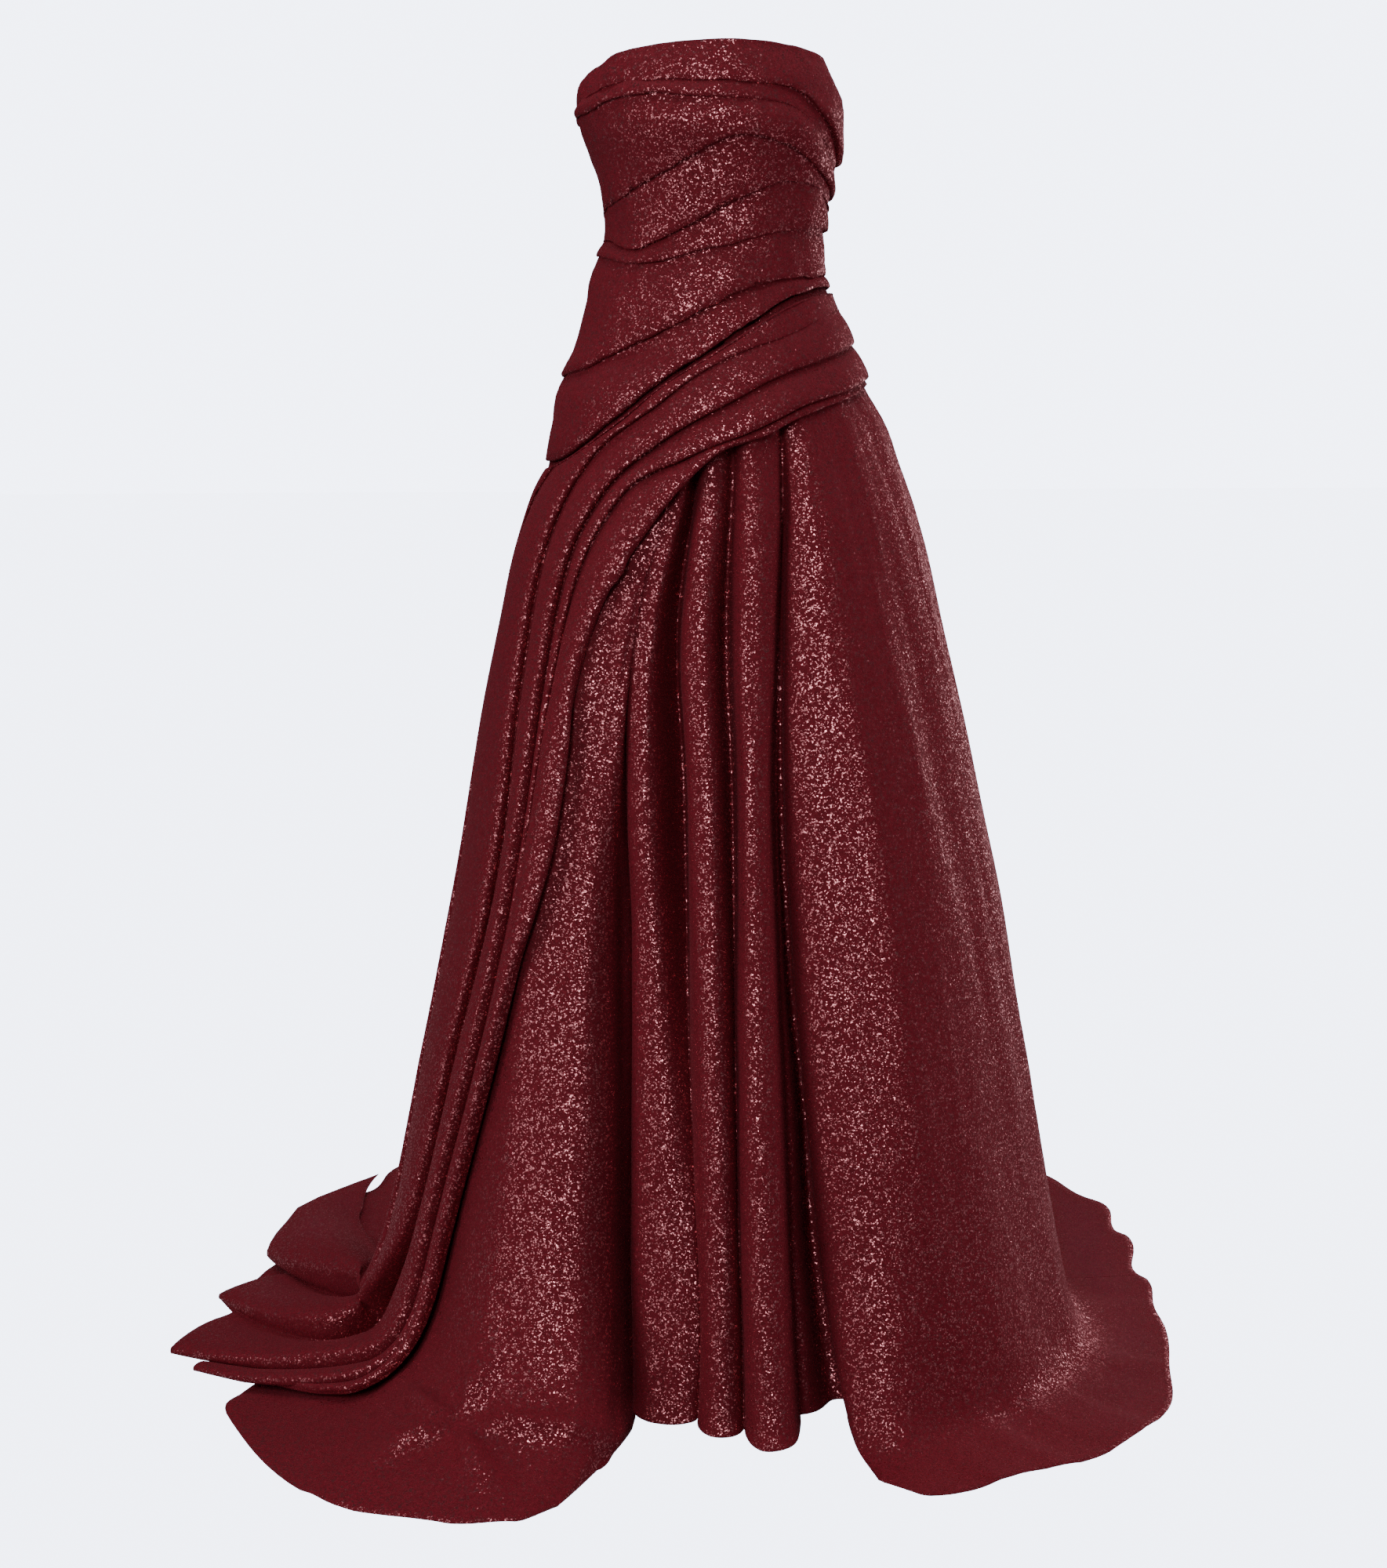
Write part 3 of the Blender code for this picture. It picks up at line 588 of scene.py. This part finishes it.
def wander(angle, seed, flat):
    """A small unevenness of a pleat's edge along its length."""
    place = np.zeros_like(angle) + seed
    waves = [height * soft_noise(angle / length + WAVE_START, place, seed + step)
             for length, height, step in EDGE_WAVES]
    return sum(waves) * MM * flat


def pleated(angle, flat, names, edge_height, lips, seed):
    """A stack of pleats on the body: its points, and each one's angle and height."""
    edges = []
    for n, name in enumerate(names):
        moves = 0 if name in STRAIGHT_EDGES else wander(angle, seed + n, flat)
        edges.append((angle, edge_height(name, angle) + moves))
    angles, heights, relief = pleat_rows(edges[:-1], edges[1:], lips, np.zeros_like(angle))
    return raised(on_body, angles, heights, relief), angles, heights


def bodice_front():
    angle = with_ends(np.linspace(RIGHT_SEAM, LEFT_SEAM, BODICE_COLUMNS))
    flat = at_seams(angle, RIGHT_SEAM, LEFT_SEAM)
    lips = [np.maximum(smooth(PLEAT_ANGLES, row, angle), 0) * flat * MM
            for row in PLEAT_LIPS.values()]
    points, angles, heights = pleated(angle, flat, PLEAT_EDGES, front_height, lips, 20)
    return part_seams(uneven(points, bumps(BODICE_BUMPS, angles, heights) * flat))


def bodice_back(side):
    """The right back for side -1, the left back for side 1."""
    seam = RIGHT_SEAM if side < 0 else LEFT_SEAM
    angle = with_ends(np.linspace(seam, side * BACK, BACK_COLUMNS))
    flat = at_seams(np.abs(angle), abs(angle[0]), BACK)
    lips = [row[3] * flat * MM for row in BACK_PLEATS.values()][1:]
    points, angles, heights = pleated(angle, flat, BACK_PLEATS, back_height, lips, 60)
    height = bumps(BODICE_BUMPS, angles, heights) * flat
    if side < 0:
        points, height = points[:, ::-1], height[:, ::-1]
    return part_seams(uneven(points, height))


def waist_height(angle):
    """Where the skirt is sewn to the bodice, under the last pleat's edge."""
    front = (angle >= RIGHT_SEAM) & (angle <= LEFT_SEAM)
    edge = np.where(front, front_height("sash", angle), back_height("sash", angle))
    return edge - EDGE_DROP - WAIST_GAP


def lobe_creases(angle, above):
    """Soft ridges that run out from a dimple in the front panel's lobe on the floor."""
    girth = WIDTHS[0] + np.maximum(-above, 0)
    across = np.radians(angle - DIMPLE_ANGLE) * girth
    along = above - DIMPLE_ABOVE
    away = np.hypot(across, along)
    ray = np.arctan2(across, along)
    ridge = np.maximum(np.cos(CREASE_RAYS * ray + CREASE_TWIST * away), 0) ** 2
    return CREASE_HEIGHT * ridge * (away / CREASE_REACH) * np.exp(1 - (away / CREASE_REACH) ** 2)


def skirt_panel(first, last, soft_columns):
    """One panel of the skirt, from one named fold to another."""
    start = FOLDS.index(first)
    count = FOLDS.index(last) - start
    places = []
    for n in range(count):
        k = start + n
        columns = SHARP_COLUMNS if FOLD_SHARP[k] or FOLD_SHARP[k + 1] else soft_columns
        t = np.linspace(0, 1, columns, endpoint=False)
        places += list(n + t)
    grid = []
    where = []
    for place in with_ends(np.array([*places, count])):
        k = start + min(int(place), count - 1)
        t = start + place - k
        waist_angle = fold_angle(k, WAIST_LEVEL) * (1 - t) + fold_angle(k + 1, WAIST_LEVEL) * t
        _, spread, foot = between_folds(k, t, WAIST_LEVEL)
        top = waist_height(waist_angle)
        upper = top + (FOOT - top) * np.linspace(0, 1, WALL_ROWS + 1)
        lower = np.linspace(FOOT, -spread, FLOOR_ROWS + 1)[1:]
        above = np.concatenate([upper, lower])
        angle, depth = fold_curve(k, t, above)
        grid.append(lay(angle, above, depth, spread, foot))
        where.append((angle, above))
    points = np.stack(grid, axis=1)
    angle, above = (np.stack([w[i] for w in where], axis=1) for i in (0, 1))
    calm = np.clip((waist_height(angle) - above) / CALM, 0, 1)
    lying = np.clip((LYING_FROM - above) / LYING_OVER, 0, 1)
    relief = bumps(SKIRT_BUMPS, angle, above) * calm * (1 + LYING_MORE * lying)
    relief = relief + lobe_creases(angle, above) * calm
    relief = np.where(above < NEAR_FLOOR, np.maximum(relief, -MOST_SINK), relief)
    points = uneven(points, relief)
    points[..., 2] = np.maximum(points[..., 2], LOWEST)
    return part_seams(points)


def hip_sash():
    """The pleated sash and its cascade: columns run along it and rows across its folds."""
    stations = np.arange(len(SASH_EDGES["top"]))
    along = np.linspace(0, stations[-1], stations[-1] * SASH_STEPS + 1)
    names = list(SASH_EDGES)
    edges = {}
    for name in names:
        angles, heights = np.array(SASH_EDGES[name], float).T
        angle = smooth(stations, angles, along)
        under_bodice = front_height("sash", angle) - TUCK
        edges[name] = (angle, np.minimum(smooth(stations, heights, along) * MM, under_bodice))
    starts = [edges["top"]]
    near = np.clip(along - NOTCH_STATION, 0, 1) ** NOTCH_CURVE
    for before, name in zip(names[1:-1], names[2:]):
        notch = NOTCHES[name]
        angle = edges[before][0] + (notch[0] - edges[before][0][-1]) * near
        height = edges[before][1] + (notch[1] * MM - edges[before][1][-1]) * near
        starts.append((angle, height))
    lips = [smooth(LIP_STATIONS, SASH_LIPS[name], along) * MM for name in names[1:]]
    low = np.interp(along, GAP_STATIONS, SASH_GAPS)
    grid = pleat_rows(starts, [edges[name] for name in names[1:]], lips, low)
    points = raised(over_skirt, *grid)
    row = np.arange(grid[0].shape[0])[:, None] * np.ones_like(grid[0])
    run = np.ones_like(grid[0]) * along[None, :]
    points = uneven(points[:, ::-1], bumps(SASH_BUMPS, run, row)[:, ::-1])
    points[..., 2] = np.maximum(points[..., 2], LOWEST)
    return points


# Looks of the cloth: a dark ground with a crinkle and painted shade in the crinkle's valleys, and
# flakes of metallic thread on its ridges
# Painted shade: the ground's colour runs from this dark red in the crinkle's valleys to the
# lighter red on its ridges
GROUND_VALLEY_SHADE = (0.085, 0.0060, 0.0105)
GROUND_RIDGE_LIT = (0.165, 0.0120, 0.0215)
GROUND_ROUGHNESS = 0.75
GROUND_SPECULAR = 0.10
FLAKE_COLOUR = (0.95, 0.33, 0.37)
FLAKE_SHARE = 0.26      # share of the flakes that glint
FLAKE_LEAN = 0.50       # how far each one leans its own way
FLAKE_ROUGHNESS = 0.28
RIDGE = 0.50            # height in the crinkle above which there are flakes
SHEEN = 0.06
SHEEN_ROUGHNESS = 0.35
SHEEN_TINT = (0.90, 0.22, 0.28)

# Room, paper and lights
ROOM = (1.0, 1.0, 1.0)
ROOM_STRENGTH = 0.045
PAPER = (0.93, 0.99, 1.20)
PAPER_STRENGTH = 5.6
FLOOR_COLOUR = (0.30, 0.30, 0.31)
FLOOR_ROUGHNESS = 0.9
FLOOR_PAPER = 0.94      # share of the paper in the floor that the camera sees
FLOOR_SIZE = 40.0       # from its middle to each side
LIGHTS = (
    # name, place, size, power, aim, seen in the glints
    ("key", (-1.45, -3.0, 0.9), (0.6, 1.4), 44, (0, 0, -0.5), True),
    ("left", (-3.0, -1.0, -0.1), (1.2, 2.2), 30, (0, 0, -0.5), False),
    ("left_glint", (-3.0, -1.2, 0.1), (1.0, 2.2), 14, (0, 0, -0.5), True),
    ("right", (3.0, -1.2, -0.4), (1.2, 1.8), 44, (0, 0, -0.7), False),
    ("rim", (2.4, 1.5, -0.2), (0.8, 1.8), 18, (0, 0, -0.6), True),
    ("top", (0.2, 0.2, 1.6), (2.5, 2.5), 58, (0, 0, -1.3), False),
)

# Camera: the photograph's view, 12 degrees to the wearer's right of the front
LENS = 60.5
SENSOR = 36.0
DISTANCE = 2.88
CAMERA_HEIGHT = 1.01
TILT = 7.67
TURN = -12.0
SIDE_STEP = -0.021


def add(tree, kind, **values):
    """A new node, with each value on its input or its setting of that name."""
    node = tree.nodes.new(kind)
    for key, value in values.items():
        if key in node.inputs:
            node.inputs[key].default_value = value
        else:
            setattr(node, key, value)
    return node


def math_node(tree, operation, first, second):
    """A Math node of an output and an output or a number."""
    node = add(tree, "ShaderNodeMath", operation=operation)
    tree.links.new(first, node.inputs[0])
    if isinstance(second, float):
        node.inputs[1].default_value = second
    else:
        tree.links.new(second, node.inputs[1])
    return node.outputs[0]


def crinkle_height(tree, place):
    """Worm-like ridges a few millimetres long, and a normal with them over broader dents."""
    crinkle = add(tree, "ShaderNodeTexNoise",
                  Scale=430.0, Detail=2.0, Roughness=0.55, Distortion=1.2)
    broad = add(tree, "ShaderNodeTexNoise", Scale=45.0, Detail=3.0, Roughness=0.55)
    bump_broad = add(tree, "ShaderNodeBump", Strength=0.12, Distance=0.004)
    bump = add(tree, "ShaderNodeBump", Strength=0.45, Distance=0.0012)
    tree.links.new(place, crinkle.inputs["Vector"])
    tree.links.new(place, broad.inputs["Vector"])
    tree.links.new(broad.outputs["Fac"], bump_broad.inputs["Height"])
    tree.links.new(crinkle.outputs["Fac"], bump.inputs["Height"])
    tree.links.new(bump_broad.outputs["Normal"], bump.inputs["Normal"])
    return crinkle.outputs["Fac"], bump.outputs["Normal"]


def ground_with_painted_shade(tree, height):
    """The ground's colour with painted shade: darker in the crinkle's valleys than on its ridges.
    """
    ramp = add(tree, "ShaderNodeValToRGB")
    # the dark end is painted shade in the crinkle's valleys, the light end the ridges
    dark, light = ramp.color_ramp.elements
    dark.position = 0.30
    dark.color = (*GROUND_VALLEY_SHADE, 1)
    light.position = 0.70
    light.color = (*GROUND_RIDGE_LIT, 1)
    tree.links.new(height, ramp.inputs["Fac"])
    return ramp.outputs["Color"]


def flakes(tree, place, height, normal):
    """Small flakes on the crinkle's ridges: where they are, and a normal that leans with them."""
    flake = add(tree, "ShaderNodeTexVoronoi", Scale=680.0, Randomness=1.0)
    pick = add(tree, "ShaderNodeSeparateColor")
    tree.links.new(place, flake.inputs["Vector"])
    tree.links.new(flake.outputs["Color"], pick.inputs["Color"])
    few = math_node(tree, "LESS_THAN", pick.outputs["Red"], FLAKE_SHARE)
    chosen = math_node(tree, "MULTIPLY", few, math_node(tree, "GREATER_THAN", height, RIDGE))
    lean = add(tree, "ShaderNodeVectorMath", operation="MULTIPLY_ADD")
    lean.inputs[1].default_value = (FLAKE_LEAN,) * 3
    lean.inputs[2].default_value = (-FLAKE_LEAN / 2,) * 3
    off = add(tree, "ShaderNodeVectorMath", operation="SCALE")
    both = add(tree, "ShaderNodeVectorMath", operation="ADD")
    unit = add(tree, "ShaderNodeVectorMath", operation="NORMALIZE")
    tree.links.new(flake.outputs["Color"], lean.inputs[0])
    tree.links.new(lean.outputs[0], off.inputs[0])
    tree.links.new(chosen, off.inputs["Scale"])
    tree.links.new(normal, both.inputs[0])
    tree.links.new(off.outputs[0], both.inputs[1])
    tree.links.new(both.outputs[0], unit.inputs[0])
    return chosen, unit.outputs[0]


def lame():
    """Dark red crinkled cloth with a glinting metallic thread."""
    material = bpy.data.materials.new("burgundy_lame")
    material.use_nodes = True
    tree = material.node_tree
    shader = tree.nodes["Principled BSDF"]
    place = add(tree, "ShaderNodeTexCoord").outputs["Object"]
    height, normal = crinkle_height(tree, place)
    chosen, leaning = flakes(tree, place, height, normal)

    tint = add(tree, "ShaderNodeMix", data_type="RGBA")
    factor, first, second = tint.inputs[0], tint.inputs[6], tint.inputs[7]
    tree.links.new(chosen, factor)
    # the ground's colour carries painted shade in the crinkle's valleys
    tree.links.new(ground_with_painted_shade(tree, height), first)
    second.default_value = (*FLAKE_COLOUR, 1)
    rough = add(tree, "ShaderNodeMapRange")
    rough.inputs["To Min"].default_value = GROUND_ROUGHNESS
    rough.inputs["To Max"].default_value = FLAKE_ROUGHNESS
    tree.links.new(chosen, rough.inputs["Value"])

    mixed = tint.outputs[2]
    tree.links.new(mixed, shader.inputs["Base Color"])
    tree.links.new(chosen, shader.inputs["Metallic"])
    tree.links.new(rough.outputs["Result"], shader.inputs["Roughness"])
    tree.links.new(leaning, shader.inputs["Normal"])
    shader.inputs["Specular IOR Level"].default_value = GROUND_SPECULAR
    shader.inputs["Sheen Weight"].default_value = SHEEN
    shader.inputs["Sheen Roughness"].default_value = SHEEN_ROUGHNESS
    shader.inputs["Sheen Tint"].default_value = (*SHEEN_TINT, 1)
    return material


def camera():
    data = bpy.data.cameras.new("camera")
    data.sensor_fit = "VERTICAL"
    data.sensor_height = SENSOR
    data.lens = LENS
    turn = math.radians(TURN)
    forward = Vector((-math.sin(turn), math.cos(turn), 0))
    right = Vector((math.cos(turn), math.sin(turn), 0))
    obj = bpy.data.objects.new("camera", data)
    obj.location = -forward * DISTANCE + right * SIDE_STEP
    obj.location.z = CAMERA_HEIGHT - HOLD_HEIGHT
    obj.rotation_euler = Euler((math.radians(90 - TILT), 0, turn))
    bpy.context.scene.collection.objects.link(obj)
    bpy.context.scene.camera = obj


def area_light(name, place, size, power, aim, glints):
    data = bpy.data.lights.new(name, "AREA")
    data.shape = "RECTANGLE"
    data.size, data.size_y = size
    data.energy = power
    obj = bpy.data.objects.new(name, data)
    obj.location = place
    obj.visible_glossy = glints
    way = Vector(aim) - Vector(place)
    obj.rotation_euler = way.to_track_quat("-Z", "Y").to_euler()
    bpy.context.scene.collection.objects.link(obj)


def mix_shaders(tree, factor, first, second, output):
    mix = add(tree, "ShaderNodeMixShader")
    tree.links.new(factor, mix.inputs[0])
    tree.links.new(first.outputs[0], mix.inputs[1])
    tree.links.new(second.outputs[0], mix.inputs[2])
    tree.links.new(mix.outputs[0], output)


def paper_world():
    """Pale paper behind the gown, in a dim room that lights it."""
    world = bpy.data.worlds.new("studio")
    bpy.context.scene.world = world
    world.use_nodes = True
    tree = world.node_tree
    room = tree.nodes["Background"]
    room.inputs["Color"].default_value = (*ROOM, 1)
    room.inputs["Strength"].default_value = ROOM_STRENGTH
    paper = add(tree, "ShaderNodeBackground", Color=(*PAPER, 1), Strength=PAPER_STRENGTH)
    seen = add(tree, "ShaderNodeLightPath").outputs["Is Camera Ray"]
    mix_shaders(tree, seen, room, paper, tree.nodes["World Output"].inputs["Surface"])


def paper_floor():
    """A plain floor of the same paper, on which the gown's shadow hardly shows."""
    material = bpy.data.materials.new("floor_paper")
    material.use_nodes = True
    tree = material.node_tree
    matt = tree.nodes["Principled BSDF"]
    matt.inputs["Base Color"].default_value = (*FLOOR_COLOUR, 1)
    matt.inputs["Roughness"].default_value = FLOOR_ROUGHNESS
    glow = add(tree, "ShaderNodeEmission", Color=(*PAPER, 1), Strength=PAPER_STRENGTH)
    seen = add(tree, "ShaderNodeLightPath").outputs["Is Camera Ray"]
    share = math_node(tree, "MULTIPLY", seen, FLOOR_PAPER)
    mix_shaders(tree, share, matt, glow, tree.nodes["Material Output"].inputs["Surface"])

    corners = [(x * FLOOR_SIZE, y * FLOOR_SIZE, -HOLD_HEIGHT)
               for x, y in ((-1, -1), (1, -1), (1, 1), (-1, 1))]
    mesh = bpy.data.meshes.new("floor")
    mesh.from_pydata(corners, [], [(0, 1, 2, 3)])
    mesh.materials.append(material)
    floor = bpy.data.objects.new("floor", mesh)
    bpy.context.scene.collection.objects.link(floor)


def studio():
    paper_world()
    paper_floor()
    for light in LIGHTS:
        area_light(*light)


CLOTH_MATERIAL = lame()
camera()
studio()
PIECES = {
    # grid of points, node, flat cut's width and length, flat area in square metres, hold
    "bodice_front_cloth": (
        bodice_front(), "bodice_front", (0.53, 0.48), 0.161, "gathered"),
    "bodice_back_right_cloth": (
        bodice_back(-1), "bodice_back_right", (0.25, 0.42), 0.068, "gathered"),
    "bodice_back_left_cloth": (
        bodice_back(1), "bodice_back_left", (0.21, 0.31), 0.048, "gathered"),
    "hip_sash_cloth": (
        hip_sash(), "hip_sash", (0.96, 1.95), 0.577, "gathered"),
    "skirt_front_cloth": (
        skirt_panel("right_seam", "left_seam", SOFT_COLUMNS),
        "skirt_front", (2.47, 1.31), 1.490, "hung"),
    "skirt_back_right_cloth": (
        skirt_panel("back_right", "right_seam", BACK_SKIRT_COLUMNS),
        "skirt_back_right", (0.99, 1.45), 0.613, "hung"),
    "skirt_back_left_cloth": (
        skirt_panel("left_seam", "back_left", BACK_SKIRT_COLUMNS),
        "skirt_back_left", (1.13, 1.51), 0.729, "hung"),
}
for name, (points, node, flat, area, held) in PIECES.items():
    cloth(name, points, node)
